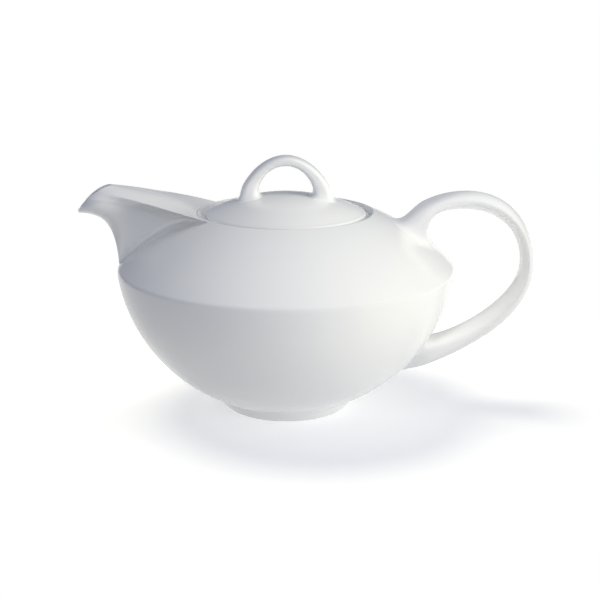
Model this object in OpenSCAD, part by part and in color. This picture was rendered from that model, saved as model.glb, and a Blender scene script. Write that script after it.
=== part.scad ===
// Porcelain teapot: round creased body, beak spout, loop handle and a domed lid with an arch.
// Millimetres. The origin is the middle of the foot ring on the table, +Z is up,
// the spout points to -X and the handle to +X.

/* [Body] */
// Widest diameter, at the crease
body_d = 176; // [168:1:186]
// Height of the crease above the table
crease_h = 76; // [72:1:82]
// Thickness of the cast wall
wall = 4; // [3:0.5:5]
// Angle at which the bowl rises from the foot ring
bowl_rise = 26; // [22:1:30]
// How far the bowl keeps the direction of that rise
bowl_base_pull = 49; // [44:1:54]
// How far the bowl stays upright below the crease
bowl_top_pull = 5; // [3:1:12]
// Radius of the ball that the shoulder is a part of
shoulder_r = 122; // [114:1:140]

/* [Foot ring] */
// Diameter of the foot where it stands on the table
foot_d = 64; // [58:1:70]
// Diameter of the foot where the bowl leaves it
foot_top_d = 78; // [74:1:82]
// Height of the foot ring
foot_h = 7.4; // [5:0.2:9]
// Width of the face that the pot stands on
foot_land = 5; // [4:0.5:7]

/* [Lid seat] */
// Diameter of the recess that the lid drops into
rim_d = 90; // [86:1:94]
// Depth of that recess
seat_depth = 3.4; // [2.6:0.2:4.4]
// Diameter of the mouth inside the ledge
mouth_d = 75; // [70:1:77]
// Radius of the rounded rim
rim_round = 0.8; // [0.4:0.1:1.2]

/* [Strainer] */
// Diameter of a strainer hole
strain_d = 2.6; // [2:0.2:2.8]
// Distance between strainer holes
strain_pitch = 3.6; // [3.4:0.1:3.8]
// Holes in the upper row, with one less in the row below
strain_count = 3; // [2:1:3]
// Rows of strainer holes
strain_rows = 2; // [1:1:2]
// Distance of the upper row from the edge of the spout's channel
strain_edge = 0.8; // [0.4:0.2:1]

/* [Spout] */
// Distance of the lip's lowest point from the pot's axis
spout_reach = 108; // [105:0.2:112]
// Height of the lip's lowest point
spout_h = 103.7; // [102:0.1:106]
// Length of the mouth, measured along the pot
lip_run = 17.2; // [15.6:0.2:19]
// Rise of the mouth from its lowest point to its top
lip_rise = 14.8; // [13:0.2:16]
// Width of the mouth
lip_w = 12.5; // [11.5:0.5:15]
// How far the sides of the mouth bulge forward
lip_bulge = 2.9; // [1.9:0.1:3.9]
// Wall at the lip
lip_wall = 2.6; // [2:0.2:3]
// Distance of the root's lowest point from the crease
root_low_gap = 0.8; // [0.6:0.2:2]
// How far the root keeps to a narrow foot above its lowest point
root_low_pull = 9; // [7:0.5:11]
// Distance of the root's top edge from the lid recess
root_high_gap = 1.5; // [1.2:0.1:2.4]
// Angle around the pot from the middle to each corner of the root
root_angle = 36; // [34:1:38]
// Distance of the channel's root from the top edge of the spout's root
channel_gap = 5; // [4.4:0.2:6]
// Length of the channel's root, measured outward along the pot
channel_run = 9.5; // [8.5:0.5:10.5]
// Angle around the pot from the middle to each corner of the channel's root
channel_angle = 8; // [7:0.5:8.5]
// How far the channel's floor keeps its slope from the root
floor_pull = 16; // [13:0.5:19]
// How far the underside rises upright from the root
keel_pull = 22.5; // [20:0.5:25]
// How far the underside runs level behind the lip
beak_pull = 11; // [9:0.5:13]
// How far the flanks swell sideways
flank_pull = 9; // [7:0.5:11]
// How far the side ridges run level from the root
ridge_pull = 20.2; // [17:0.2:23]
// How far the side ridges run straight behind the lip
ridge_lip_pull = 13.8; // [11.4:0.2:16]
// How far the top keeps its slope at the root
crown_pull = 12.8; // [11:0.2:15]
// How far the top keeps its slope behind the lip
crown_lip_pull = 17; // [14:0.5:20]

/* [Handle] */
// Distance of the loop's outer end from the pot's axis
handle_reach = 129.6; // [124:0.2:136]
// Height of the loop's outer end
handle_mid_h = 76.8; // [72:0.2:82]
// Width of the loop
handle_w = 19; // [15:1:22]
// Thickness at the loop's outer end
handle_t = 5.6; // [5:0.2:7]
// How far the loop's inner face swells past its edge
handle_bulge = 1.2; // [0.5:0.1:2]
// How far the roots spread sideways on the body
handle_flare = 3; // [1.5:0.5:5]
// Distance from the axis at which the outer edge leaves the shoulder
over_r = 57; // [54:1:60]
// Angle at which the outer edge leaves the shoulder
over_angle = 39; // [34:1:44]
// How far the outer edge keeps that angle
over_pull = 49.5; // [44:0.5:55]
// How far the outer edge runs upright above the outer end
over_end_pull = 34.5; // [30:0.5:39]
// How far the outer edge runs upright below the outer end
under_end_pull = 27.5; // [23:0.5:32]
// Height at which the outer edge meets the bowl
under_h = 17.5; // [16:0.5:21]
// Angle at which the outer edge leaves the bowl
under_angle = 13; // [9:1:17]
// How far the outer edge keeps that angle
under_pull = 48; // [43:1:53]
// Distance from the axis at which the inner edge leaves the shoulder
web_r = 81; // [77:1:83]
// Angle at which the inner edge leaves the shoulder
web_angle = 126; // [118:1:132]
// How far the inner edge keeps that angle
web_pull = 28; // [24:1:31]
// Distance from the axis at which the inner edge runs level over the fingers
grip_r = 93.4; // [90:0.2:97]
// Height at which the inner edge runs level over the fingers
grip_h = 107.2; // [105:0.2:108.6]
// How far the inner edge runs level to each side of that point
grip_pull = 12; // [8:0.5:14]
// How far the inner edge runs upright above the outer end
grip_end_pull = 23; // [19:0.5:27]
// How far the inner edge runs upright below the outer end
arm_end_pull = 21; // [17:0.5:25]
// Height at which the inner edge meets the bowl
arm_h = 35.3; // [33:0.2:39]
// How far the inner edge runs level from the bowl
arm_pull = 14; // [11:0.5:18]

/* [Lid] */
// Gap between the lid's edge and the recess
lid_gap = 3.2; // [2:0.2:4]
// Thickness of the lid at its edge
lid_edge = 3; // [2.6:0.2:4]
// Radius of the rounded edge
lid_edge_round = 1.2; // [0.8:0.2:1.6]
// Radius of the ball that the lid's top is a part of
lid_dome_r = 93; // [88:1:104]
// Thickness of the lid's dome
lid_wall = 4; // [3:0.5:5]
// Gap between the lid's flange and the mouth
flange_gap = 1.1; // [0.6:0.1:1.6]
// Thickness of the flange
flange_wall = 3.2; // [2.6:0.2:4]
// How far the flange reaches below the ledge's top
flange_depth = 11; // [8:1:14]
// Diameter of the vent hole
vent_d = 4; // [3:0.5:5]
// Distance of the vent hole from the middle of the lid
vent_r = 24; // [21:1:27]

/* [Lid handle] */
// Width of the arch's outside where it leaves the dome
arch_out_w = 50; // [46:1:54]
// Width of the gap under the arch, on the dome
arch_in_w = 27.4; // [24:0.2:30]
// Height of the arch above the top of the dome
arch_h = 19.75; // [17.5:0.25:22]
// Thickness at the top of the arch
arch_t = 5; // [4.6:0.1:5.6]
// Width of the arch
arch_w = 13; // [10:0.5:15]
// How far the legs spread sideways on the dome
arch_flare = 1; // [0.4:0.2:2]
// Angle at which the outside leaves the dome
arch_out_angle = 97; // [92:1:102]
// How far the outside keeps that angle
arch_out_pull = 10.5; // [8:0.5:13]
// How far the outside runs level at the top
arch_out_top = 12.2; // [10:0.2:14]
// Angle at which the gap's edge leaves the dome
arch_in_angle = 61; // [54:1:72]
// How far the gap's edge keeps that angle
arch_in_pull = 4.5; // [3.5:0.5:6]
// How far the gap's edge runs level at the top
arch_in_top = 10.3; // [8.5:0.2:11.5]

/* [Joints] */
// Thickness of the slip between members that are luted together
slip = 0.2; // [0.1:0.05:0.3]
// Height at which the lid rests above its ledge
lid_rest = 0.05; // [0.02:0.01:0.1]

/* [Hidden] */

glaze = [0.95, 0.95, 0.94];
$fn = 96;
curve_steps = 26;
rail_steps = 18;
base_steps = 8;
loop_steps = 36;
arch_steps = 22;
round_steps = 6;
spout_sides = 54;
loop_sides = 24;
cap_rings = 3;
solve_steps = 22;
squareness = 3.4;
oval_power = 1.8;
oval_share = 0.22;
oval_middle = 0.45;
ridge_turn = 100;
web_share = 1 / 6;
root_share = 0.1;
root_slide = 8;
root_power = 4;
root_open_share = 0.06;
lip_power = 1.3;
inner_share = 0.7;
keel_way = [-0.05, 0, 1];
floor_way = [-1, 0, 0.25];
ridge_way = [-1, 0.03, 0.15];
crown_way = [-1, 0, 0.8];
ridge_lip_way = [-0.5, 0.81, -0.3];
crown_lip_way = [-1, 0, 0.16];

body_r = body_d / 2;
rim_r = rim_d / 2;
mouth_r = mouth_d / 2;
neck_r = rim_r + wall;
ball_h = crease_h - sqrt(pow(shoulder_r, 2) - pow(body_r, 2));
rim_h = ball_z(rim_r);
seat_h = rim_h - seat_depth;
lid_r = rim_r - lid_gap;
lid_low = seat_h + lid_rest;
lid_high = lid_low + lid_edge;
dome_edge_r = lid_r - lid_edge_round;
dome_h = lid_high - sqrt(pow(lid_dome_r, 2) - pow(dome_edge_r, 2));
dome_top = dome_h + lid_dome_r;
flange_r = mouth_r - flange_gap;
flange_in_r = flange_r - flange_wall;
root_low_r = body_r - root_low_gap;
root_high_r = rim_r + root_high_gap;
root_high_pull = 2 * root_high_gap;
channel_high_r = root_high_r + channel_gap;
channel_low_r = channel_high_r + channel_run;

// Points along a curve with two ends and two pulls
function curve(a, b, c, d, t) = pow(1 - t, 3) * a + 3 * t * pow(1 - t, 2) * b
    + 3 * t * t * (1 - t) * c + pow(t, 3) * d;
function curve_dir(a, b, c, d, t) = 3 * pow(1 - t, 2) * (b - a) + 6 * t * (1 - t) * (c - b)
    + 3 * t * t * (d - c);
function unit(v) = v / norm(v);
function along(angle) = [cos(angle), sin(angle)];

// Height of the shoulder's and the lid's outside at a distance from the axis
function ball_z(r) = ball_h + sqrt(pow(shoulder_r, 2) - r * r);
function dome_z(r) = dome_h + sqrt(pow(lid_dome_r, 2) - r * r);
function arc_points(r, mid_h, from_x, to_x, steps) =
    let (a0 = acos(from_x / r), a1 = acos(to_x / r))
    [for (i = [0:steps]) [0, mid_h] + r * along(a0 + (a1 - a0) * i / steps)];

// The bowl's outside, from the foot to the crease
bowl_low = [foot_top_d / 2, foot_h];
bowl_high = [body_r, crease_h];
bowl_pull_low = bowl_low + bowl_base_pull * along(bowl_rise);
bowl_pull_high = bowl_high - [0, bowl_top_pull];
function bowl_at(t) = curve(bowl_low, bowl_pull_low, bowl_pull_high, bowl_high, t);
function bowl_in(t) = let (d = unit(curve_dir(bowl_low, bowl_pull_low, bowl_pull_high, bowl_high, t)))
    bowl_at(t) + wall * [-d.y, d.x];
bowl_out = [for (i = [0:curve_steps]) bowl_at(i / curve_steps)];
bowl_inside = [for (i = [curve_steps:-1:0]) bowl_in(i / curve_steps)];
shoulder_out = arc_points(shoulder_r, ball_h, body_r, neck_r, curve_steps);
rim_out = arc_points(shoulder_r, ball_h, neck_r - slip, rim_r + rim_round, round_steps);
shoulder_in_r = shoulder_r - wall;
shoulder_in_low = sqrt(pow(shoulder_in_r, 2) - pow(crease_h - ball_h, 2));
shoulder_inside = arc_points(shoulder_in_r, ball_h, neck_r, shoulder_in_low, curve_steps);

// Distance of the pot's outside from its axis at a height, and how far a point stands out from it
outline = [for (p = concat(bowl_out, shoulder_out)) [p.y, p.x]];
function pot_r(z) = lookup(z, outline);
function off_pot(p) = norm([p.x, p.y]) - pot_r(p.z);

// Slides a point along a direction until it stands slip off the pot
function to_pot(p, dir, near, far, n) = n == 0 ? p + dir * (near + far) / 2
    : off_pot(p + dir * (near + far) / 2) > slip
        ? to_pot(p, dir, (near + far) / 2, far, n - 1)
        : to_pot(p, dir, near, (near + far) / 2, n - 1);

// Triangles between the rings of a tube, with n points in a ring
function tube_faces(first, rings, n, flip) = [for (i = [0:rings - 2], j = [0:n - 1], k = [0, 1])
    let (a = first + i * n + j, b = first + i * n + (j + 1) % n, c = a + n, d = b + n,
         f = k == 0 ? [a, c, b] : [b, c, d])
    flip ? [f[2], f[1], f[0]] : f];
function fan_faces(first, n, tip, flip) = [for (j = [0:n - 1])
    let (f = [first + j, first + (j + 1) % n, tip]) flip ? [f[2], f[1], f[0]] : f];
function capped_faces(rings, n) = concat(tube_faces(0, rings, n, true), fan_faces(0, n, rings * n, true),
    fan_faces((rings - 1) * n, n, rings * n + 1, false));

// Signed power, which squares up a round section
function square_up(x, square = squareness) = sign(x) * pow(abs(x), 2 / square);

// Outside of the foot ring, tapering to the table
module foot_ring() {
    land_r = foot_d / 2;
    color(glaze) rotate_extrude()
        polygon([[land_r - foot_land, 0], [land_r, 0], [foot_top_d / 2, foot_h],
                 [land_r - foot_land, foot_h]]);
}

module bowl() {
    color(glaze) rotate_extrude()
        polygon(concat([[0, foot_h]], bowl_out, bowl_inside, [[0, bowl_in(0).y]]));
}

// Shoulder shell with rows of strainer holes behind the spout
module shoulder() {
    color(glaze) difference() {
        rotate_extrude() polygon(concat(shoulder_out, shoulder_inside));
        strainer_holes();
    }
}

// Rows of holes that narrow downwards, inside the root of the spout's channel
module strainer_holes() {
    top_r = channel_high_r + strain_edge + strain_d / 2;
    step = 2 * asin(strain_pitch / 2 / shoulder_r);
    for (row = [0:strain_rows - 1]) {
        tilt = asin(top_r / shoulder_r) + row * step * sin(60);
        count = strain_count - row;
        for (i = [0:count - 1])
            translate([0, 0, ball_h])
                rotate([0, 0, (i - (count - 1) / 2) * step / sin(tilt)])
                    rotate([0, -tilt, 0])
                        translate([0, 0, shoulder_r - 2 * wall])
                            cylinder(d = strain_d, h = 3 * wall, $fn = 32);
    }
}

// Rounded rim, recess wall and the ledge that carries the lid
module lid_gallery() {
    rim_mid = [rim_r + rim_round, rim_out[round_steps].y - rim_round];
    rim_curve = [for (i = [1:round_steps]) rim_mid + rim_round * along(90 + 90 * i / round_steps)];
    color(glaze) rotate_extrude()
        polygon(concat([[mouth_r, seat_h - wall], [neck_r - slip, seat_h - wall]], rim_out, rim_curve,
                       [[rim_r, seat_h], [mouth_r, seat_h]]));
}

// A turn around the spout runs from the keel at 0 over a ridge at ridge_turn to the crown at 180
function side_share(v) = min(abs(v) / ridge_turn, 1);
function top_share(v) = max((abs(v) - ridge_turn) / (180 - ridge_turn), 0);
function ease(x) = x * x * (3 - 2 * x);
function mix(a, b, x) = a + (b - a) * x;

// Roots on the shoulder as a distance from the axis and an angle around it:
// the spout's root starts as a narrow foot and spreads along the lid recess
function root_polar(v) =
    let (x = side_share(v))
    [curve(root_low_r, root_low_r - root_low_pull, root_high_r + root_high_pull, root_high_r, x),
     root_angle * mix(pow(x, root_power), x, root_open_share) * (1 - top_share(v)) * sign(v)];
function channel_polar(v) =
    [mix(channel_low_r, channel_high_r, side_share(v)),
     channel_angle * side_share(v) * (1 - top_share(v)) * sign(v)];
function on_shoulder(p) =
    [-p.x * cos(p.y), -p.x * sin(p.y), ball_h + sqrt(pow(shoulder_r + slip, 2) - p.x * p.x)];

// The edge of the mouth, an oval on a slant
function lip_at(v, inset) =
    let (mid = [-spout_reach + lip_run / 2, 0, spout_h + lip_rise / 2],
         up = unit([lip_run, 0, lip_rise]),
         out = [-up.z, 0, up.x],
         half = norm([lip_run, lip_rise]) / 2)
    mid - (half - inset) * cos(v) * up - [0, (lip_w / 2 - inset) * sin(v), 0]
        + lip_bulge * pow(abs(sin(v)), lip_power) * out;

// Directions in which a skin leaves the root and arrives at the lip
function on_side(way, v) = [way.x, way.y * sign(v), way.z];
function root_dir(v, keel) =
    let (ridge = ridge_pull * unit(on_side(ridge_way, v)), crown = crown_pull * unit(crown_way))
    mix(mix(keel, ridge, ease(side_share(v))), crown, top_share(v));
function lip_dir(v) =
    let (keel = [-beak_pull, 0, 0], ridge = ridge_lip_pull * unit(on_side(ridge_lip_way, v)),
         crown = crown_lip_pull * unit(crown_lip_way))
    mix(mix(keel, ridge, side_share(v)), crown, top_share(v));

// Sideways swell of the flanks, most at a third of the way from the keel to a ridge
function swell(v) = [0, -sign(v) * flank_pull * 27 / 4 * side_share(v) * pow(1 - side_share(v), 2), 0];
function slimmer(way) = [way.x, inner_share * way.y, way.z];
function skin_out(u, v) =
    let (a = on_shoulder(root_polar(v)), d = lip_at(v, 0))
    curve(a, a + root_dir(v, keel_pull * unit(keel_way)) + swell(v), d - lip_dir(v) + swell(v), d, u);
function skin_in(u, v) =
    let (a = on_shoulder(channel_polar(v)), d = lip_at(v, lip_wall))
    curve(a, a + slimmer(root_dir(v, floor_pull * unit(floor_way))), d - slimmer(lip_dir(v)), d, u);

// Triangles of a tube that closes on itself
function closed_faces(rings, n) = concat(tube_faces(0, rings, n, false), [for (j = [0:n - 1], k = [0, 1])
    let (a = (rings - 1) * n + j, b = (rings - 1) * n + (j + 1) % n, c = j, d = (j + 1) % n)
    k == 0 ? [a, c, b] : [b, c, d]]);

// Hollow beak: an outer skin to the lip, an inner skin back, and a base that lies on the shoulder
module spout() {
    n = spout_sides;
    turns = [for (j = [0:n - 1]) 360 * j / n - (2 * j > n ? 360 : 0)];
    outer = [for (i = [0:rail_steps], v = turns) skin_out(i / rail_steps, v)];
    inner = [for (i = [rail_steps:-1:0], v = turns) skin_in(i / rail_steps, v)];
    base = [for (i = [1:base_steps - 1], v = turns)
        on_shoulder(mix(channel_polar(v), root_polar(v), i / base_steps))];
    rings = 2 * rail_steps + base_steps + 1;
    color(glaze) polyhedron(concat(outer, inner, base), closed_faces(rings, n));
}

// The loop lies between an outer and an inner edge, which start and end on the pot
over_root = [over_r, ball_z(over_r)];
over_end = [handle_reach, handle_mid_h];
under_root = [pot_r(under_h), under_h];
web_root = [web_r, ball_z(web_r)];
grip = [grip_r, grip_h];
grip_end = over_end - [handle_t, 0];
arm_root = [pot_r(arm_h), arm_h];
function edge_out(s) = s < 0.5
    ? curve(over_root, over_root + over_pull * along(over_angle),
            over_end + [0, over_end_pull], over_end, 2 * s)
    : curve(over_end, over_end - [0, under_end_pull],
            under_root + under_pull * along(under_angle), under_root, 2 * s - 1);
function edge_in(s) = s < web_share
    ? curve(web_root, web_root + web_pull * along(web_angle), grip - [grip_pull, 0], grip, s / web_share)
    : s < 0.5
    ? curve(grip, grip + [grip_pull, 0], grip_end + [0, grip_end_pull], grip_end,
            (s - web_share) / (0.5 - web_share))
    : curve(grip_end, grip_end - [0, arm_end_pull], arm_root + [arm_pull, 0], arm_root, 2 * s - 1);
function fade(s, reach) = exp(-pow(s / reach, 2));
// Its section is an oblong at the roots and turns into an oval away from them
function loop_ring(s, grow) =
    let (turned = ease(min(min(s, 1 - s) / oval_share, 1)), square = mix(squareness, oval_power, turned),
         a = edge_out(s), b = edge_in(s) - handle_bulge * turned * unit(edge_out(s) - edge_in(s)),
         c = mix(a, b, mix(0.5, oval_middle, turned)),
         w = handle_w + 2 * handle_flare * (fade(s, root_share) + fade(1 - s, root_share)))
    [for (j = [0:loop_sides - 1])
        let (v = 360 * j / loop_sides, k = square_up(cos(v), square),
             q = c + grow * k * (k > 0 ? a - c : c - b))
        [q.x, grow * w / 2 * square_up(sin(v), square), q.y]];

// The last ring and its cap are slid along the loop until they lie on the pot
function root_ring(s, dir, grow) =
    [for (p = loop_ring(s, grow)) to_pot(p + dir * root_slide, -dir, 0, 2 * root_slide, solve_steps)];
up_dir = [cos((over_angle + web_angle) / 2), 0, sin((over_angle + web_angle) / 2)];
out_dir = [cos(under_angle / 2), 0, sin(under_angle / 2)];

module handle() {
    n = loop_sides;
    upper = [for (k = [1:cap_rings]) each root_ring(0, up_dir, k / cap_rings)];
    lower = [for (k = [cap_rings:-1:1]) each root_ring(1, out_dir, k / cap_rings)];
    mid = [for (i = [1:loop_steps - 1]) each loop_ring(i / loop_steps, 1)];
    tips = [root_ring(0, up_dir, 0)[0], root_ring(1, out_dir, 0)[0]];
    rings = 2 * cap_rings + loop_steps - 1;
    color(glaze) polyhedron(concat(upper, mid, lower, tips), capped_faces(rings, n));
}

// Domed lid with a rounded edge, hollow below
module lid_dome() {
    edge_mid = [dome_edge_r, lid_high - lid_edge_round];
    edge = [for (i = [1:round_steps]) edge_mid + lid_edge_round * along(90 - 90 * i / round_steps)];
    top = arc_points(lid_dome_r, dome_h, 0, dome_edge_r, curve_steps);
    hollow_r = flange_in_r;
    under = arc_points(lid_dome_r - lid_wall, dome_h, hollow_r, 0, curve_steps);
    color(glaze) difference() {
        rotate_extrude()
            polygon(concat(top, edge, [[lid_r - lid_edge_round / 2, lid_low], [hollow_r, lid_low]], under));
        translate([0, vent_r, lid_low]) cylinder(d = vent_d, h = dome_top - lid_low, $fn = 32);
    }
}

// Ring below the dome that keeps the lid in the mouth
module lid_flange() {
    chamfer = flange_wall / 4;
    color(glaze) rotate_extrude()
        polygon([[flange_in_r, lid_low], [flange_r, lid_low], [flange_r, seat_h - flange_depth + chamfer],
                 [flange_r - chamfer, seat_h - flange_depth], [flange_in_r, seat_h - flange_depth]]);
}

// The arch lies between an outer edge and the edge of its gap, alike on both sides
arch_out_foot = [arch_out_w / 2, dome_z(arch_out_w / 2)];
arch_in_foot = [arch_in_w / 2, dome_z(arch_in_w / 2)];
arch_out_peak = [0, dome_top + arch_h];
arch_in_peak = arch_out_peak - [0, arch_t];
function arch_out(t) = curve(arch_out_foot, arch_out_foot + arch_out_pull * along(arch_out_angle),
                             arch_out_peak + [arch_out_top, 0], arch_out_peak, t);
function arch_in(t) = curve(arch_in_foot, arch_in_foot + arch_in_pull * along(arch_in_angle),
                            arch_in_peak + [arch_in_top, 0], arch_in_peak, t);
function arch_ring(s, grow) =
    let (t = 1 - abs(2 * s - 1), half = s < 0.5 ? -1 : 1,
         a = arch_out(t), b = arch_in(t),
         w = arch_w + 2 * arch_flare * fade(t, 2 * root_share))
    [for (j = [0:loop_sides - 1])
        let (v = 360 * j / loop_sides, q = (a + b) / 2 + grow * (a - b) / 2 * square_up(cos(v)))
        [half * q.x, grow * w / 2 * square_up(sin(v)), q.y]];
function leg_ring(s, grow) =
    [for (p = arch_ring(s, grow))
        [p.x, p.y, dome_h + sqrt(pow(lid_dome_r + slip, 2) - p.x * p.x - p.y * p.y)]];

module lid_handle() {
    n = loop_sides;
    near = [for (k = [1:cap_rings]) each leg_ring(0, k / cap_rings)];
    far = [for (k = [cap_rings:-1:1]) each leg_ring(1, k / cap_rings)];
    mid = [for (i = [1:arch_steps - 1]) each arch_ring(i / arch_steps, 1)];
    tips = [leg_ring(0, 0)[0], leg_ring(1, 0)[0]];
    rings = 2 * cap_rings + arch_steps - 1;
    color(glaze) polyhedron(concat(near, mid, far, tips), capped_faces(rings, n));
}

foot_ring();
bowl();
shoulder();
lid_gallery();
spout();
handle();
lid_dome();
lid_flange();
lid_handle();
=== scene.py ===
import math
import bmesh
import bpy
import numpy as np
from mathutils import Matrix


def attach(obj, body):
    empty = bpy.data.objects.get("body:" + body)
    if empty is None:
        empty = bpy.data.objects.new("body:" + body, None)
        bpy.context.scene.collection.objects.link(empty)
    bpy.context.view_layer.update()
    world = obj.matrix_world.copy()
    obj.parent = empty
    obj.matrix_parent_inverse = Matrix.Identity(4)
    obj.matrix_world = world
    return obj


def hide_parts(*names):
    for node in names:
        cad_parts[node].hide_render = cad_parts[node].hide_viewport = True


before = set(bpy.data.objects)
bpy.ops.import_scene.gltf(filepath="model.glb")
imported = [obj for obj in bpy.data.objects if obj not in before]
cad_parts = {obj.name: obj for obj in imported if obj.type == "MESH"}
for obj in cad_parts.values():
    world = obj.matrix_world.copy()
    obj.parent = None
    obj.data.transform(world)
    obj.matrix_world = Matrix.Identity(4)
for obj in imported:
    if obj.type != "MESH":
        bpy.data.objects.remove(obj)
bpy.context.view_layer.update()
print("frame loaded:", sorted(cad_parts))

# sizes are in millimetres and angles in degrees until a mesh is made
mm = 0.001
rad = math.radians


def linear(hexColour):  # sRGB hex to linear RGBA, by the standard's curve
    s = np.array([int(hexColour[i:i + 2], 16) for i in (1, 3, 5)]) / 255
    lin = np.where(s <= 0.04045, s / 12.92, ((s + 0.055) / 1.055) ** 2.4)
    return (*map(float, lin), 1.0)


def addNode(tree, kind, settings=None, inputs=None):  # one node, its settings, and its values or links
    node = tree.nodes.new(kind)
    for key, value in (settings or {}).items():
        setattr(node, key, value)
    for key, value in (inputs or {}).items():
        if isinstance(value, bpy.types.NodeSocket):
            tree.links.new(value, node.inputs[key])
        else:
            node.inputs[key].default_value = value
    return node


def unit(v):  # vectors divided by their lengths
    return v / np.linalg.norm(v, axis=-1, keepdims=True)


def mix(a, b, x):  # straight line from a to b
    return a + (b - a) * x


def ease(x):  # smooth step, three squares less two cubes
    return x * x * (3 - 2 * x)


def along(angle):  # direction in the X-Z plane
    return np.array([math.cos(rad(angle)), math.sin(rad(angle))])


def bezier(a, b, c, d, t):  # cubic curve with two ends and two pulls
    return (1 - t) ** 3 * a + 3 * t * (1 - t) ** 2 * b + 3 * t * t * (1 - t) * c + t ** 3 * d


def bezierDir(a, b, c, d, t):  # slope of the same cubic curve
    return 3 * (1 - t) ** 2 * (b - a) + 6 * t * (1 - t) * (c - b) + 3 * t * t * (d - c)


def steps(n):  # column of n + 1 shares from 0 to 1
    return np.linspace(0, 1, n + 1)[:, None]


def roundCorner(before, corner, after, size, n=8):
    # quadratic curve that leaves one edge size before the corner and joins the next size after it
    before, corner, after = map(np.array, (before, corner, after))
    a = corner + size * unit(before - corner)
    b = corner + size * unit(after - corner)
    t = steps(n)
    return (1 - t) ** 2 * a + 2 * t * (1 - t) * corner + t * t * b


def arcPath(radius, midZ, fromR, toR, n):  # circle about a point on the axis, between two distances from it
    a = np.linspace(math.acos(fromR / radius), math.acos(toR / radius), n + 1)
    return np.stack([radius * np.cos(a), midZ + radius * np.sin(a)], 1)


def joinedPath(parts, spacing):  # the parts one after another, with points no further than spacing apart
    path = np.concatenate([np.array(part, float) for part in parts])
    seg = np.linalg.norm(np.diff(path, axis=0), axis=1)
    at = np.concatenate([[0], np.cumsum(seg)])
    n = np.maximum(np.ceil(seg / spacing).astype(int), 1)
    want = [np.linspace(a, b, k, endpoint=False) for a, b, k in zip(at[:-1], at[1:], n)]
    want = np.concatenate(want + [at[-1:]])
    return np.stack([np.interp(want, at, path[:, k]) for k in range(path.shape[1])], 1)


seam = dict(merge=2e-6, thinnest=1e-6)  # metres


def closeSeams(mesh):  # points of poles and seams that lie together become one
    work = bmesh.new()
    work.from_mesh(mesh)
    bmesh.ops.remove_doubles(work, verts=work.verts, dist=seam["merge"])
    bmesh.ops.dissolve_degenerate(work, edges=work.edges, dist=seam["thinnest"])
    work.to_mesh(mesh)
    work.free()


def skin(name, grid):
    # grid of points, rows by columns, closed round its columns; rows that are one point close the ends;
    # the volume is a sixth of the sum of the faces' triple products, and its sign tells which way they point
    rows, cols = grid.shape[:2]
    i, j = np.meshgrid(np.arange(rows - 1), np.arange(cols), indexing="ij")
    a, b = i * cols + j, i * cols + (j + 1) % cols
    quads = np.stack([a, b, b + cols, a + cols], -1).reshape(-1, 4)
    points = grid.reshape(-1, 3)
    p, q, r, s = (points[quads[:, k]] for k in range(4))
    volume = (np.einsum("ij,ij->", np.cross(p, q), r) + np.einsum("ij,ij->", np.cross(p, r), s)) / 6
    if volume < 0:
        quads = quads[:, ::-1]
    mesh = bpy.data.meshes.new(name)
    mesh.from_pydata((points * mm).tolist(), [], quads.tolist())
    closeSeams(mesh)
    mesh.shade_smooth()
    obj = bpy.data.objects.new(name, mesh)
    bpy.context.scene.collection.objects.link(obj)
    print("made", name, len(mesh.polygons), "faces, volume", round(abs(volume) / 1000, 2), "cm3")
    return obj


def turned(profile, n):  # profile of distance and height, turned about the axis
    a = np.linspace(0, 2 * math.pi, n, endpoint=False)
    r, z = profile[:, :1], profile[:, 1:]
    return np.stack([r * np.cos(a), r * np.sin(a), z + 0 * a], -1)


drill = dict(sides=40, across=(0.0, 1.0, 0.1), sharpAngle=40)  # across: any way that no pin points


def drilled(obj, centres, ways, diameter, depth):  # holes cut along directions, from round pins
    a = np.linspace(0, 2 * math.pi, drill["sides"], endpoint=False)[:, None]
    for centre, way in zip(np.atleast_2d(centres), np.atleast_2d(ways)):
        way = unit(way)
        side = unit(np.cross(way, drill["across"]))
        ring = (np.cos(a) * side + np.sin(a) * np.cross(way, side)) * diameter / 2
        rows = [centre - way * depth + 0 * ring, centre - way * depth + ring,
                centre + way * depth + ring, centre + way * depth + 0 * ring]
        pin = skin("pin", np.stack(rows))
        cut = obj.modifiers.new("hole", "BOOLEAN")
        cut.object = pin
        cut.operation = "DIFFERENCE"
        cut.solver = "EXACT"
        done = bpy.data.meshes.new_from_object(obj.evaluated_get(bpy.context.evaluated_depsgraph_get()))
        obj.modifiers.clear()
        obj.data = done
        bpy.data.objects.remove(pin)
    obj.data.set_sharp_from_angle(angle=rad(drill["sharpAngle"]))


# glazed porcelain: slip-cast, fired white body under a clear glossy glaze, which gives a cool white
# with sharp small reflections, faint waves in the glaze and a slightly bluer tone where it pools
glazed = dict(white="#F4F4F1", pool="#EEF1F2", roughness=0.25, ior=1.5, coat=0.3, coatRoughness=0.06,
              poolMm=45, poolDetail=2.0, waveMm=16, waveDetail=1.0, waveHeightMm=0.012)


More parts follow.
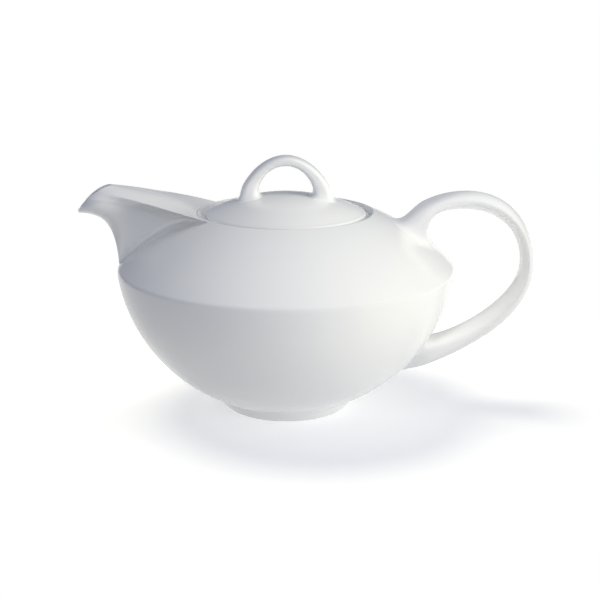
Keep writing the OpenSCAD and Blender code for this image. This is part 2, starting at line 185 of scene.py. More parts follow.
def glazedPorcelain(name):  # noise mixes the two whites, a second noise bends the surface, a coat lies on top
    mat = bpy.data.materials.new(name)
    mat.use_nodes = True
    tree = mat.node_tree
    tree.nodes.clear()
    place = addNode(tree, "ShaderNodeTexCoord").outputs["Object"]
    cloud = addNode(tree, "ShaderNodeTexNoise", {},
                    {"Vector": place, "Scale": 1 / (glazed["poolMm"] * mm), "Detail": glazed["poolDetail"]})
    tone = addNode(tree, "ShaderNodeMix", {"data_type": "RGBA"},
                   {0: cloud.outputs[0], 6: linear(glazed["white"]), 7: linear(glazed["pool"])})
    wave = addNode(tree, "ShaderNodeTexNoise", {},
                   {"Vector": place, "Scale": 1 / (glazed["waveMm"] * mm), "Detail": glazed["waveDetail"]})
    bump = addNode(tree, "ShaderNodeBump", {},
                   {"Height": wave.outputs[0], "Distance": glazed["waveHeightMm"] * mm, "Strength": 1.0})
    shader = addNode(tree, "ShaderNodeBsdfPrincipled", {},
                     {"Base Color": tone.outputs[2], "Normal": bump.outputs[0],
                      "Roughness": glazed["roughness"], "IOR": glazed["ior"],
                      "Coat Weight": glazed["coat"], "Coat Roughness": glazed["coatRoughness"]})
    addNode(tree, "ShaderNodeOutputMaterial", {}, {"Surface": shader.outputs[0]})
    return mat


porcelain = glazedPorcelain("glazed_porcelain")

# pot shell: foot, bowl, shoulder and the recess for the lid, as one turned profile
pot = dict(bodyR=88, creaseH=76, wall=4, bowlRise=26, basePull=49, topPull=5, ballR=122,
           footR=32, footTopR=39, footH=7.4, land=5, rimR=45, seatDepth=3.4, mouthR=37.5,
           creaseRound=1.6, creaseShare=0.7, rimRound=1.1, rimClear=0.3, rimLift=0.02, seatRound=0.6,
           mouthRound=1.2, ledgeRound=0.72, neckRound=0.8, neckIn=1, footRound=1.2, footTopRound=0.8,
           footClear=1, footInRound=1.0, insideLow=4, insideHigh=1,
           curveSteps=60, insideSteps=30, creaseSteps=10, spacing=2.2, turns=224)
ballZ = pot["creaseH"] - math.sqrt(pot["ballR"] ** 2 - pot["bodyR"] ** 2)


def shoulderZ(r):  # height of the shoulder's outside, a ball about a point on the axis
    return ballZ + np.sqrt(pot["ballR"] ** 2 - r * r)


rimH = float(shoulderZ(pot["rimR"]))
seatH = rimH - pot["seatDepth"]
footTop = (pot["footTopR"], pot["footH"])
crease = (pot["bodyR"], pot["creaseH"])
bowlCurve = [np.array(p, float) for p in (
    footTop, np.array(footTop) + pot["basePull"] * along(pot["bowlRise"]),
    np.array(crease) - (0, pot["topPull"]), crease)]


def potInside():  # the bowl's curve and the shoulder's arc, both set in by the wall, and the neck's underside
    t = steps(pot["curveSteps"])
    d = unit(bezierDir(*bowlCurve, t))
    bowl = bezier(*bowlCurve, t) + pot["wall"] * np.stack([-d[:, 1], d[:, 0]], 1)
    bowl = bowl[bowl[:, 1] < pot["creaseH"] - pot["insideLow"]]
    inR = pot["ballR"] - pot["wall"]
    lowR = math.sqrt(inR ** 2 - (pot["creaseH"] + pot["insideHigh"] - ballZ) ** 2)
    neckR = pot["rimR"] + pot["wall"]
    shoulder = arcPath(inR, ballZ, lowR, neckR + pot["neckIn"], pot["insideSteps"])
    under = seatH - pot["wall"]
    neck = roundCorner(shoulder[-1], (neckR - pot["neckIn"], under), (pot["mouthR"], under), pot["neckRound"])
    return [[(0, bowl[0][1])], bowl, shoulder, neck]


def potProfile():
    # inside, then ledge, recess and rim, then the shoulder's arc and the bowl's curve down to the foot
    arc = arcPath(pot["ballR"], ballZ, pot["rimR"] + pot["rimRound"] + pot["rimClear"],
                  pot["bodyR"] - pot["creaseRound"] * pot["creaseShare"], pot["curveSteps"])
    bowl = bezier(*bowlCurve, steps(pot["curveSteps"]))[::-1]
    bowl = bowl[bowl[:, 1] < pot["creaseH"] - pot["creaseRound"]]
    bowl = bowl[bowl[:, 1] > pot["footH"] + pot["footClear"]]
    under = seatH - pot["wall"]
    mouthLow, mouthHigh = (pot["mouthR"], under), (pot["mouthR"], seatH)
    seat, rim = (pot["rimR"], seatH), (pot["rimR"], rimH + pot["rimLift"])
    land, landIn = (pot["footR"], 0), (pot["footR"] - pot["land"], 0)
    base = (landIn[0], pot["footH"])
    outside = [
        roundCorner((pot["rimR"] + pot["wall"], under), mouthLow, mouthHigh, pot["mouthRound"]),
        roundCorner(mouthLow, mouthHigh, seat, pot["ledgeRound"]),
        roundCorner(mouthHigh, seat, (pot["rimR"], rimH), pot["seatRound"]),
        roundCorner(seat, rim, arc[0], pot["rimRound"]),
        arc, roundCorner(arc[-1], crease, bowl[0], pot["creaseRound"], pot["creaseSteps"]), bowl,
        roundCorner(bowl[-1], footTop, land, pot["footTopRound"]),
        roundCorner(footTop, land, landIn, pot["footRound"]),
        roundCorner(land, landIn, base, pot["footRound"]),
        roundCorner(landIn, base, (0, pot["footH"]), pot["footInRound"]),
        [(0, pot["footH"])]]
    return joinedPath(potInside() + outside, pot["spacing"])


potShell = skin("pot_shell", turned(potProfile(), pot["turns"]))

# lid: dome, edge and the ring below it that keeps it in the mouth
lid = dict(gap=3.2, edge=3, edgeRound=1.2, domeR=93, wall=4, flangeGap=1.1, flangeWall=3.2,
           flangeDepth=11, rest=0.05, ventD=4, ventR=24, ventDeep=6, ventPin=12,
           domeClear=0.6, edgeDrop=0.35, seatRound=0.6, neckRound=0.4, flangeRound=1.0, hollowRound=1.5,
           domeSteps=40, edgeSteps=10, hollowSteps=30, spacing=1.8, turns=176)
lidR = pot["rimR"] - lid["gap"]
lidLow = seatH + lid["rest"]
lidHigh = lidLow + lid["edge"]
domeEdgeR = lidR - lid["edgeRound"]
domeZ = lidHigh - math.sqrt(lid["domeR"] ** 2 - domeEdgeR ** 2)
domeTop = domeZ + lid["domeR"]


def lidProfile():
    # circle arc dome, rounded edge, flat seat, straight ring, and a second arc set in by the wall
    out = pot["mouthR"] - lid["flangeGap"]
    inner = out - lid["flangeWall"]
    low = seatH - lid["flangeDepth"]
    top = arcPath(lid["domeR"], domeZ, 0, domeEdgeR - lid["domeClear"], lid["domeSteps"])
    hollow = arcPath(lid["domeR"] - lid["wall"], domeZ, inner, 0, lid["hollowSteps"])
    edge, seat = (lidR, lidHigh - lid["edgeDrop"]), (lidR - lid["edgeRound"] / 2, lidLow)
    neck, ringOut, ringIn = (out, lidLow), (out, low), (inner, low)
    return joinedPath([
        top, roundCorner(top[-1], edge, seat, lid["edgeRound"], lid["edgeSteps"]),
        roundCorner(edge, seat, neck, lid["seatRound"]),
        roundCorner(seat, neck, ringOut, lid["neckRound"]),
        roundCorner(neck, ringOut, ringIn, lid["flangeRound"]),
        roundCorner(ringOut, ringIn, (inner, lidLow), lid["flangeRound"]),
        roundCorner(ringIn, hollow[0], hollow[1], lid["hollowRound"]), hollow[2:]], lid["spacing"])


lidShell = skin("lid_shell", turned(lidProfile(), lid["turns"]))
drilled(lidShell, (0, lid["ventR"], domeTop - lid["ventDeep"]), (0, 0, 1), lid["ventD"], lid["ventPin"])

# spout: a loft from its root on the shoulder to a slanted oval lip, with a soft valley at the root;
# a turn around it runs from the keel at 0 over a ridge to the crown at 180
spout = dict(reach=108, lipH=103.7, lipRun=17.2, lipRise=14.8, lipW=12.5, lipBulge=2.9, lipRoundness=1.3,
             lipWall=2.6, rootLowR=87.7, rootLowPull=9, rootHighR=46.5, rootHighPull=0.5, rootAngle=39,
             rootPower=4.4, rootMiddle=0.3, channelLowR=61, channelHighR=51.5, channelAngle=8,
             keelPull=22.5, floorPull=16, beakPull=11, flankPull=9, ridgePull=20.2, ridgeLipPull=13.8,
             crownPull=12.8, crownLipPull=17, ridgeTurn=100, innerShare=0.7,
             keelWay=(-0.05, 0, 1), floorWay=(-1, 0, 0.25), ridgeWay=(-1, 0.03, 0.15), crownWay=(-1, 0, 0.8),
             ridgeLipWay=(-0.5, 0.81, -0.3), crownLipWay=(-1, 0, 0.16),
             ridgeSoft=0.012, keelSoft=6, crownSoft=25,
             valley=2.6, valleyKeel=0.5, valleyEnd=0.8, valleyTop=0.4,
             valleyUp=3, valleyKeelUp=1.5, valleyTopUp=0.8,
             sideGrow=2.2, endGrow=4, crownGrow=3, skirt=1.2, rimClear=0.2, creaseClear=0.6,
             edgeSink=0.05, skirtSink=0.3, baseSink=0.6,
             sides=216, rails=48, valleyRows=10, lipRows=14, innerRails=24)


def softFloor(x):  # x above 0 and 0 below it, by a hyperbola that rounds the bend
    return (x + np.sqrt(x * x + spout["ridgeSoft"] ** 2)) / 2


def softEnd(x, soft):  # x with its start rounded to a level, by a hyperbola
    return np.sqrt(x * x + soft ** 2) - soft


def spoutShares(v):
    # shares of the way from keel to ridge and from ridge to crown, with softened ends,
    # and the second one again without its softened crown
    s = spout
    toCrown = 180 - s["ridgeTurn"]
    far = 180 - np.abs(v)
    side = 1 - softFloor(1 - softEnd(v, s["keelSoft"]) / s["ridgeTurn"])
    top = softFloor(1 - softEnd(far, s["crownSoft"]) / toCrown)
    flat = softFloor(1 - far / toCrown)
    return np.clip(side, 0, 1), np.clip(top, 0, 1), np.clip(flat, 0, 1)


def rootPolar(v):
    # distance from the axis is a Bezier from keel to ridge, the angle about the axis a power of the share
    s = spout
    side, _, flat = spoutShares(v)
    r = bezier(s["rootLowR"], s["rootLowR"] - s["rootLowPull"], s["rootHighR"] + s["rootHighPull"],
               s["rootHighR"], side)
    return np.stack([r, s["rootAngle"] * side ** s["rootPower"] * (1 - flat) * np.sign(v)], 1)


def channelPolar(v):  # the channel's root: distance and angle both run straight with the share
    s = spout
    side, _, flat = spoutShares(v)
    r = mix(s["channelLowR"], s["channelHighR"], side)
    return np.stack([r, s["channelAngle"] * side * (1 - flat) * np.sign(v)], 1)


def onShoulder(polar, sink=0.0):  # distance and angle to a point on the shoulder
    r, a = polar[:, 0], np.radians(polar[:, 1])
    z = ballZ + np.sqrt((pot["ballR"] - sink) ** 2 - r * r)
    return np.stack([-r * np.cos(a), -r * np.sin(a), z], 1)


def lipRing(v, inset):  # oval on a slant, bulged forwards at its sides
    s = spout
    mid = np.array([-s["reach"] + s["lipRun"] / 2, 0, s["lipH"] + s["lipRise"] / 2])
    up = unit(np.array([s["lipRun"], 0, s["lipRise"]], float))
    out = np.array([-up[2], 0, up[0]])
    half = math.hypot(s["lipRun"], s["lipRise"]) / 2
    c, q = np.cos(np.radians(v))[:, None], np.sin(np.radians(v))[:, None]
    return (mid - (half - inset) * c * up - (s["lipW"] / 2 - inset) * q * np.array([0, 1.0, 0])
            + s["lipBulge"] * np.abs(q) ** s["lipRoundness"] * out)


def spoutWays(v, keel, swell, sideShare):
    # directions at the root and at the lip, mixed from keel to ridge to crown; the flanks swell sideways,
    # most at a third of the way, where 27 / 4 makes the product of the shares 1
    s = spout
    side, top, _ = (x[:, None] for x in spoutShares(v))
    flip = np.stack([np.ones_like(v), np.sign(v), np.ones_like(v)], 1)
    names = ("ridgeWay", "crownWay", "ridgeLipWay", "crownLipWay")
    way = {k: unit(np.array(s[k], float)) for k in names}
    out = swell * 27 / 4 * side * (1 - side) ** 2 * np.array([0, -1.0, 0]) * flip
    root = mix(mix(keel, s["ridgePull"] * way["ridgeWay"] * flip, ease(side)),
               s["crownPull"] * way["crownWay"], top) + out
    lip = mix(mix(np.array([-s["beakPull"], 0, 0]), s["ridgeLipPull"] * way["ridgeLipWay"] * flip, side),
              s["crownLipPull"] * way["crownLipWay"], top) - out
    slimmer = np.array([1, sideShare, 1])
    return root * slimmer, lip * slimmer


def besideRoot(v, far, sink):
    # ring on the shoulder at a distance outside the root: each point moves square to the root's own run
    s = spout
    polar = rootPolar(v)
    turn = np.radians(polar[:, 1])
    xy = polar[:, :1] * np.stack([np.cos(turn), np.sin(turn)], 1)
    run = unit(np.roll(xy, -1, 0) - np.roll(xy, 1, 0))
    outward = np.stack([run[:, 1], -run[:, 0]], 1)
    middle = np.array([mix(s["rootHighR"], s["rootLowR"], s["rootMiddle"]), 0])
    outward *= np.sign(np.sum(outward * (xy - middle), 1).sum())
    xy = xy + outward * far[:, None]
    r = np.clip(np.hypot(xy[:, 0], xy[:, 1]), pot["rimR"] + pot["rimRound"] + s["rimClear"],
                pot["bodyR"] - s["creaseClear"])
    return onShoulder(np.stack([r, np.degrees(np.arctan2(xy[:, 1], xy[:, 0]))], 1), sink)


def valleySizes(v):  # width and height of the root's valley, eased from keel to flank, corner and crown
    s = spout
    side, _, flat = spoutShares(v)
    onSide = ease(np.clip(side * s["sideGrow"], 0, 1))
    onEnd = ease(np.clip(1 - (1 - side) * s["endGrow"], 0, 1))
    onCrown = ease(np.clip(flat * s["crownGrow"], 0, 1))
    wide = mix(mix(mix(s["valleyKeel"], s["valley"], onSide), s["valleyEnd"], onEnd), s["valleyTop"], onCrown)
    return wide, mix(mix(s["valleyKeelUp"], s["valleyUp"], onSide), s["valleyTopUp"], onCrown)


valleyReach = 0.45  # pull at each end of a valley's curve, as a share of its span


def valleyRows(ground, groundWay, up, upWay, n):
    # cubic curve that leaves the ground along it and joins the skin above along that skin
    span = np.linalg.norm(up - ground, axis=-1, keepdims=True) * valleyReach
    t = np.linspace(0, 1, n, endpoint=False)[:, None, None]
    return bezier(ground, ground + groundWay * span, up - upWay * span, up, t)


def alongSurface(way, out):  # directions with their share along the outward direction taken off
    return unit(way - np.sum(way * out, 1, keepdims=True) * out)


def spoutGrid():
    # valley, cubic rails up to the lip, half-round lip as thick as the wall, cubic rails down the channel
    s = spout
    v = np.linspace(-180, 180, s["sides"], endpoint=False) + 180 / s["sides"]
    rootWay, lipWay = spoutWays(v, s["keelPull"] * unit(np.array(s["keelWay"])), s["flankPull"], 1)
    floorWay, floorLipWay = spoutWays(v, s["floorPull"] * unit(np.array(s["floorWay"])), 0, s["innerShare"])
    lipOut, lipHalf = unit(lipWay), s["lipWall"] / 2
    wallWay = alongSurface(lipRing(v, 1) - lipRing(v, 0), lipOut)
    a, d = onShoulder(rootPolar(v)), lipRing(v, 0) - lipOut * lipHalf
    inA, inD = onShoulder(channelPolar(v)), d + wallWay * s["lipWall"]
    outer = (a, a + rootWay, d - lipWay, d)
    inner = (inA, inA + floorWay, inD - floorLipWay, inD)

    wide, high = valleySizes(v)
    ground = besideRoot(v, wide, s["edgeSink"])
    skirt = besideRoot(v, wide + s["skirt"], s["skirtSink"])[None]
    groundWay = alongSurface(a - ground, unit(ground - np.array([0, 0, ballZ])))
    up = (high / np.linalg.norm(d - a, axis=1))[:, None]
    valley = valleyRows(ground, groundWay, bezier(*outer, up), unit(bezierDir(*outer, up)), s["valleyRows"])
    rails = bezier(*outer, up + (1 - up) * np.linspace(0, 1, s["rails"])[:, None, None])
    around = np.linspace(0, math.pi, s["lipRows"])[1:-1, None, None]
    lip = d + wallWay * lipHalf * (1 - np.cos(around)) + lipOut * lipHalf * np.sin(around)
    channel = bezier(*inner, 1 - np.linspace(0, 1, s["innerRails"])[:, None, None])
    base = np.stack([onShoulder(channelPolar(v), s["baseSink"]), besideRoot(v, wide, s["baseSink"])])
    return np.concatenate([skirt, valley, rails, lip, channel, base, skirt])


spoutPiece = skin("spout_beak", spoutGrid())

# handle: a loop between an outer and an inner edge, oblong at its roots and oval between them,
# with its ends spread softly on the pot
handle = dict(reach=129.6, midH=76.8, width=19, thick=5.6, flare=3, flareShare=0.1, square=3.6, slim=0.05,
              middle=0.45, bulge=1.2, oval=1.8, ovalShare=0.22,
              overR=57, overAngle=39, overPull=49.5, overEndPull=34.5,
              underEndPull=27.5, underH=17.5, underAngle=13, underPull=48,
              webR=81, webAngle=126, webPull=28, webShare=1 / 6, gripR=93.4, gripH=107.2, gripPull=12,
              gripEndPull=23, armEndPull=21, armH=35.3, armPull=14,
              valley=3.5, valleyUp=0.07, valleyRows=16, edgeSink=0.06, capSink=0.8, rows=150, sides=72)
# how points find the pot's outside, which potLine follows from the foot to the rim
slide = dict(reach=10.0, halvings=40, slopeStep=0.05, lineSteps=80, lineTopR=40)
potLine = np.concatenate([
    bezier(*bowlCurve, steps(slide["lineSteps"])),
    arcPath(pot["ballR"], ballZ, pot["bodyR"], slide["lineTopR"], slide["lineSteps"])])
wayStep = 0.004  # share of a loop over which its direction is taken


def potR(z):  # distance of the pot's outside from its axis at a height
    return np.interp(z, potLine[:, 1], potLine[:, 0])


def potOut(p):  # outward direction of the pot's surface near a point, from its slope
    dz = slide["slopeStep"]
    slope = (potR(p[..., 2] + dz) - potR(p[..., 2] - dz)) / (2 * dz)
    r = np.hypot(p[..., 0], p[..., 1])
    return unit(np.stack([p[..., 0] / r, p[..., 1] / r, -slope], -1))


def toPot(p, way):  # slides points along a direction onto the pot, by halving
    near = np.full(p.shape[:-1], slide["reach"])
    far = -near
    for k in range(slide["halvings"]):
        half = (near + far) / 2
        q = p + half[..., None] * way
        outside = np.hypot(q[..., 0], q[..., 1]) > potR(q[..., 2])
        near = np.where(outside, half, near)
        far = np.where(outside, far, half)
    return p + ((near + far) / 2)[..., None] * way


def squareUp(x, square):  # circle to a rounded oblong, by a signed power
    return np.sign(x) * np.abs(x) ** (2 / square)


def loopEdges(s):
    # piecewise Bezier edges: over the top and back under on the outside, web, grip and arm on the inside
    h = handle
    s = s[:, None]
    overRoot = np.array([h["overR"], shoulderZ(h["overR"])])
    overEnd = np.array([h["reach"], h["midH"]])
    underRoot = np.array([potR(h["underH"]), h["underH"]])
    webRoot = np.array([h["webR"], shoulderZ(h["webR"])])
    grip = np.array([h["gripR"], h["gripH"]])
    gripEnd = overEnd - (h["thick"], 0)
    armRoot = np.array([potR(h["armH"]), h["armH"]])
    share = h["webShare"]
    over = bezier(overRoot, overRoot + h["overPull"] * along(h["overAngle"]),
                  overEnd + (0, h["overEndPull"]), overEnd, 2 * s)
    under = bezier(overEnd, overEnd - (0, h["underEndPull"]),
                   underRoot + h["underPull"] * along(h["underAngle"]), underRoot, 2 * s - 1)
    web = bezier(webRoot, webRoot + h["webPull"] * along(h["webAngle"]),
                 grip - (h["gripPull"], 0), grip, s / share)
    inside = bezier(grip, grip + (h["gripPull"], 0), gripEnd + (0, h["gripEndPull"]), gripEnd,
                    (s - share) / (0.5 - share))
    arm = bezier(gripEnd, gripEnd - (0, h["armEndPull"]), armRoot + (h["armPull"], 0), armRoot, 2 * s - 1)
    return np.where(s < 0.5, over, under), np.where(s < share, web, np.where(s < 0.5, inside, arm))


def loopRings(s):
    # sections between the two edges: an oblong at the roots, which turns into a swelling oval away from them
    h = handle
    a, b = loopEdges(s)
    way = unit(a - b)
    ovalness = ease(np.clip(np.minimum(s, 1 - s) / h["ovalShare"], 0, 1))[:, None]
    a, b = a - h["slim"] * way, b + mix(h["slim"], -h["bulge"], ovalness) * way
    c = mix(a, b, mix(0.5, h["middle"], ovalness))
    flared = np.exp(-(s / h["flareShare"]) ** 2) + np.exp(-((1 - s) / h["flareShare"]) ** 2)
    v = np.linspace(0, 2 * math.pi, h["sides"], endpoint=False)
    square = mix(h["square"], h["oval"], ovalness)
    across = squareUp(np.cos(v), square)[..., None]
    q = c[:, None] + np.where(across > 0, (a - c)[:, None], (c - b)[:, None]) * across
    y = (h["width"] / 2 + h["flare"] * flared)[:, None] * squareUp(np.sin(v), square)
    return np.stack([q[..., 0], y, q[..., 1]], -1)


def ringWay(rings, share, step):  # directions in which the points of a ring move on as its share grows
    return unit(rings(np.array([share + step]))[0] - rings(np.array([share - step]))[0])


def capped(centre, sunk, rows):  # hidden flat end below the rows, from its centre out
    return np.concatenate([np.stack([centre, mix(centre, sunk, 0.5), sunk]), rows])


def handleEnd(ring, upRing, upWay, angle):
    # valley rows from the pot's surface, beside where the loop meets it, up to a ring of the loop
    h = handle
    way = np.array([math.cos(rad(angle)), 0, math.sin(rad(angle))])
    foot = toPot(ring, way)
    mid = foot.mean(0)
    aside = alongSurface(foot - mid, potOut(foot))
    ground = foot + aside * h["valley"]
    ground[:, :2] *= (potR(ground[:, 2]) / np.hypot(ground[:, 0], ground[:, 1]))[:, None]
    ground -= h["edgeSink"] * potOut(ground)
    rows = valleyRows(ground, -aside, upRing, upWay, h["valleyRows"])
    centre = np.repeat(toPot(mid[None], way), len(ring), 0)
    return capped(centre - h["capSink"] * potOut(centre), ground - h["capSink"] * potOut(ground), rows)


def handleGrid():  # rings along the loop between its two soft ends
    h = handle
    cut = h["valleyUp"]
    mid = loopRings(np.linspace(cut, 1 - cut, h["rows"]))
    ends = loopRings(np.array([0.0, 1.0]))
    upAngle = (h["overAngle"] + h["webAngle"]) / 2
    first = handleEnd(ends[0], mid[0], ringWay(loopRings, cut, wayStep), upAngle)
    last = handleEnd(ends[1], mid[-1], ringWay(loopRings, 1 - cut, -wayStep), h["underAngle"] / 2)
    return np.concatenate([first, mid, last[::-1]])


handlePiece = skin("side_handle", handleGrid())

# arch on the lid: an oblong section between an outer edge and the edge of its gap
arch = dict(outW=50, inW=27.4, height=19.75, thick=5, width=13, flare=1, flareShare=0.16, square=3.2,
            outAngle=97, outPull=10.5, outTop=12.2, inAngle=61, inPull=4.5, inTop=10.3,
            valley=2.8, valleyUp=0.13, valleyRows=14, edgeSink=0.05, capSink=0.8, rows=110, sides=64)
domeMid = np.array([0, 0, domeZ])


def domeH(r):  # height of the lid's outside, a ball about domeMid
    return domeZ + np.sqrt(lid["domeR"] ** 2 - r * r)


def onDome(p, sink=0.0):  # points moved towards or away from domeMid onto the lid
    return domeMid + unit(p - domeMid) * (lid["domeR"] - sink)


def archRings(s):  # two Bezier edges from foot to peak, alike on both sides, with an oblong between them
    g = arch
    t = 1 - np.abs(2 * s - 1)
    half = np.where(s < 0.5, -1.0, 1.0)
    outFoot = np.array([g["outW"] / 2, domeH(g["outW"] / 2)])
    inFoot = np.array([g["inW"] / 2, domeH(g["inW"] / 2)])
    outPeak = np.array([0, domeTop + g["height"]])
    inPeak = outPeak - (0, g["thick"])
    a = bezier(outFoot, outFoot + g["outPull"] * along(g["outAngle"]),
               outPeak + (g["outTop"], 0), outPeak, t[:, None])
    b = bezier(inFoot, inFoot + g["inPull"] * along(g["inAngle"]),
               inPeak + (g["inTop"], 0), inPeak, t[:, None])
    w = g["width"] + 2 * g["flare"] * np.exp(-(t / g["flareShare"]) ** 2)
    v = np.linspace(0, 2 * math.pi, g["sides"], endpoint=False)
    q = ((a + b) / 2)[:, None] + ((a - b) / 2)[:, None] * squareUp(np.cos(v), g["square"])[None, :, None]
    y = (w / 2)[:, None] * squareUp(np.sin(v), g["square"])
    return np.stack([q[..., 0] * half[:, None], y, q[..., 1]], -1)


def archEnd(ring, upRing, upWay):  # the same soft valley, on the lid's dome
    g = arch
    foot = onDome(ring)
    mid = foot.mean(0)
    aside = alongSurface(foot - mid, unit(foot - domeMid))
    ground = onDome(foot + aside * g["valley"], g["edgeSink"])
    rows = valleyRows(ground, -aside, upRing, upWay, g["valleyRows"])
    centre = np.repeat(onDome(mid[None], g["capSink"]), len(ring), 0)
    return capped(centre, onDome(ground, g["capSink"]), rows)


def archGrid():  # rings along the arch between its two soft ends
    cut = arch["valleyUp"]
    mid = archRings(np.linspace(cut, 1 - cut, arch["rows"]))
    ends = archRings(np.array([0.0, 1.0]))
    first = archEnd(ends[0], mid[0], ringWay(archRings, cut, wayStep))
    last = archEnd(ends[1], mid[-1], ringWay(archRings, 1 - cut, -wayStep))
    return np.concatenate([first, mid, last[::-1]])


archPiece = skin("lid_arch", archGrid())

# strainer: rows of holes behind the spout, each with one hole less than the row above it
strain = dict(d=2.6, pitch=3.6, count=3, rows=2, edge=0.8, pin=6)


def strainerHoles():
    # triangular pattern on the shoulder's ball, as tilts from its top and turns about the axis
    topR = spout["channelHighR"] + strain["edge"] + strain["d"] / 2
    step = 2 * math.asin(strain["pitch"] / 2 / pot["ballR"])
    row = np.repeat(np.arange(strain["rows"]), strain["count"])
    col = np.tile(np.arange(strain["count"]), strain["rows"])
    count = strain["count"] - row
    keep = col < count
    row, col, count = row[keep], col[keep], count[keep]
    tilt = math.asin(topR / pot["ballR"]) + row * step * math.sin(math.pi / 3)
    turn = (col - (count - 1) / 2) * step / np.sin(tilt)
    ways = np.stack([-np.sin(tilt) * np.cos(turn), -np.sin(tilt) * np.sin(turn), np.cos(tilt)], 1)
    return np.array([0, 0, ballZ]) + ways * (pot["ballR"] - pot["wall"] / 2), ways


drilled(potShell, *strainerHoles(), strain["d"], strain["pin"])

lidPieces = [lidShell, archPiece]
potAndLid = [potShell, spoutPiece, *lidPieces]
pieces = [potShell, spoutPiece, handlePiece, *lidPieces]
for piece, body, nodes in ((potShell, "pot", ("foot_ring", "bowl", "shoulder", "lid_gallery")),
                           (spoutPiece, "pot", ("spout",)),
                           (handlePiece, "pot", ("handle",)),
                           (lidShell, "lid", ("lid_dome", "lid_flange")),
                           (archPiece, "lid", ("lid_handle",))):
    piece.data.materials.clear()
    piece.data.materials.append(porcelain)
    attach(piece, body)
    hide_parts(*nodes)
print("pieces placed")

# camera: in front of the pot, close to its middle plane, and looking a little down
shot = dict(eye=(7.31, -674.99, 242.06), tilt=15.36, focalPx=1322, imagePx=600, sensor=36)
cameraData = bpy.data.cameras.new("camera")
camera = bpy.data.objects.new("camera", cameraData)
bpy.context.scene.collection.objects.link(camera)
camera.location = [c * mm for c in shot["eye"]]
camera.rotation_euler = (rad(90 - shot["tilt"]), 0, 0)
cameraData.sensor_width = shot["sensor"]
cameraData.lens = shot["focalPx"] / shot["imagePx"] * shot["sensor"]
bpy.context.scene.camera = camera

# stage: pale floor that the camera sees as near white, with the pot's soft shadow on it;
# half its side is in metres
stage = dict(half=6.0, seen="#F9F9F9", bounce="#8C8C8A", glow="#FFFFFF", white=0.42)
corners = [(x * stage["half"], y * stage["half"], 0) for x, y in ((-1, -1), (1, -1), (1, 1), (-1, 1))]
floorMesh = bpy.data.meshes.new("floor")
floorMesh.from_pydata(corners, [], [(0, 1, 2, 3)])
floor = bpy.data.objects.new("floor", floorMesh)
bpy.context.scene.collection.objects.link(floor)


def paleFloor():
    # matt paper: rays that the picture shows see a pale sheet with a little glow, all others a grey one,
    # so that the floor throws little light back at the pot
    mat = bpy.data.materials.new("pale_paper_floor")
    mat.use_nodes = True
    tree = mat.node_tree
    tree.nodes.clear()
    ray = addNode(tree, "ShaderNodeLightPath").outputs
    seen = ray["Is Camera Ray"]
    for kind in ("Is Glossy Ray", "Is Transmission Ray"):
        seen = addNode(tree, "ShaderNodeMath", {"operation": "MAXIMUM"}, {0: seen, 1: ray[kind]}).outputs[0]
    plain = addNode(tree, "ShaderNodeBsdfDiffuse", {}, {"Color": linear(stage["bounce"])})
    paper = addNode(tree, "ShaderNodeBsdfDiffuse", {}, {"Color": linear(stage["seen"])})
    white = addNode(tree, "ShaderNodeEmission", {},
                    {"Color": linear(stage["glow"]), "Strength": stage["white"]})
    bright = addNode(tree, "ShaderNodeAddShader", {}, {0: paper.outputs[0], 1: white.outputs[0]})
    both = addNode(tree, "ShaderNodeMixShader", {}, {0: seen, 1: plain.outputs[0], 2: bright.outputs[0]})
    addNode(tree, "ShaderNodeOutputMaterial", {}, {"Surface": both.outputs[0]})
    return mat


floorMesh.materials.append(paleFloor())

room = dict(colour="#E2E8FF", strength=0.33, seen="#FFFFFF", seenStrength=1.0)


def studioRoom():  # cool dim room that the camera sees as white
    world = bpy.data.worlds.new("studio")
    world.use_nodes = True
    tree = world.node_tree
    tree.nodes.clear()
    ray = addNode(tree, "ShaderNodeLightPath").outputs["Is Camera Ray"]
    dim = addNode(tree, "ShaderNodeBackground", {},
                  {"Color": linear(room["colour"]), "Strength": room["strength"]})
    white = addNode(tree, "ShaderNodeBackground", {},
                    {"Color": linear(room["seen"]), "Strength": room["seenStrength"]})
    both = addNode(tree, "ShaderNodeMixShader", {}, {0: ray, 1: dim.outputs[0], 2: white.outputs[0]})
    addNode(tree, "ShaderNodeOutputWorld", {}, {"Surface": both.outputs[0]})
    return world


bpy.context.scene.world = studioRoom()

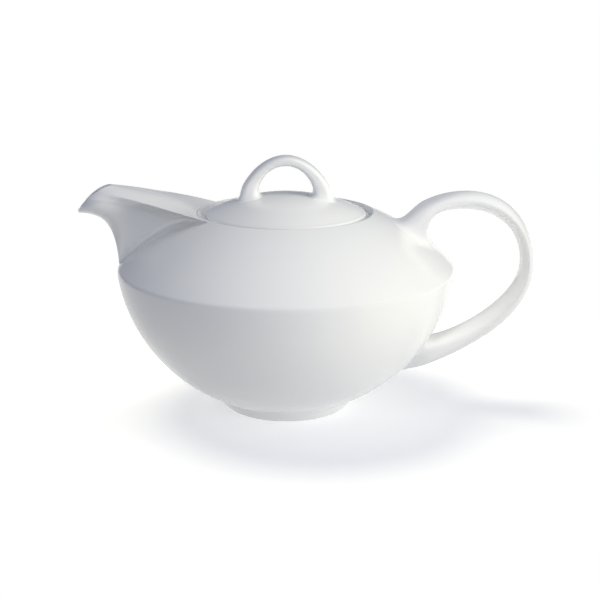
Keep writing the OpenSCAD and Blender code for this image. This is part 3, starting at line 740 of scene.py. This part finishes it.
# lamps: a wide soft lamp at the right for pot and lid, a low one for the lid, three for the handle,
# weaker ones above, in front and behind, two for the light that a table throws back from below,
# and a high soft sun that lights only the floor
lampAway = 1.7  # metres
lampWide = 1.2  # metres
lampAimH = 60
onGrip = [handlePiece]
lamps = [
    dict(name="right", lights=potAndLid, blocks=potAndLid, turn=68, rise=25, power=20.4, colour="#FFFBEA"),
    dict(name="lid_right", lights=lidPieces, blocks=potAndLid, turn=95, rise=8, power=5.0, colour="#FFFBEA"),
    dict(name="grip_right", lights=onGrip, blocks=potAndLid, turn=75, rise=25, power=14.0, colour="#FFFBEA"),
    dict(name="grip_left", lights=onGrip, blocks=potAndLid, turn=-35, rise=10, power=4.6, colour="#FFFAEC"),
    dict(name="above", lights=pieces, blocks=potAndLid, turn=75, rise=65, power=5.6, colour="#FFFDF6"),
    dict(name="front", lights=pieces, blocks=potAndLid, turn=0, rise=5, power=7.4, colour="#F7F6FF"),
    dict(name="grip", lights=onGrip, blocks=potAndLid, turn=20, rise=60, power=5.6, colour="#FFF8EC"),
    dict(name="behind", lights=pieces, blocks=potAndLid, turn=200, rise=0, power=12.0, colour="#FFFDF6"),
    dict(name="table", lights=pieces, blocks=pieces, turn=45, rise=-70, power=5.0, colour="#FFFFFF"),
    dict(name="table_right", lights=pieces, blocks=pieces, turn=90, rise=-65, power=8.6, colour="#FFFFFF"),
    dict(name="floor_sun", lights=[floor], blocks=pieces, turn=-130, rise=70, power=1.25, colour="#FFFAE4",
         angle=30)]


def linked(name, objects):  # collection of the objects that a lamp lights or that stop its light
    group = bpy.data.collections.new(name)
    for obj in objects:
        group.objects.link(obj)
    return group


for lamp in lamps:
    data = bpy.data.lights.new(lamp["name"], "SUN" if "angle" in lamp else "AREA")
    if "angle" in lamp:
        data.angle = rad(lamp["angle"])
    else:
        data.shape = "DISK"
        data.size = lampWide
    data.energy = lamp["power"]
    data.cycles.use_multiple_importance_sampling = False  # lamps that share rays would dim each other
    data.color = linear(lamp["colour"])[:3]
    obj = bpy.data.objects.new(lamp["name"], data)
    bpy.context.scene.collection.objects.link(obj)
    turn, rise = rad(lamp["turn"]), rad(lamp["rise"])
    out = np.array([math.sin(turn) * math.cos(rise), -math.cos(turn) * math.cos(rise), math.sin(rise)])
    obj.location = np.array([0, 0, lampAimH]) * mm + out * lampAway
    obj.rotation_euler = (rad(90) - rise, 0, turn)
    obj.visible_glossy = False
    links = obj.light_linking
    links.receiver_collection = linked(lamp["name"] + "_lit", lamp["lights"])
    links.blocker_collection = linked(lamp["name"] + "_blocked", lamp["blocks"])
print("stage and lamps set")

bpy.context.scene.view_settings.view_transform = "Standard"
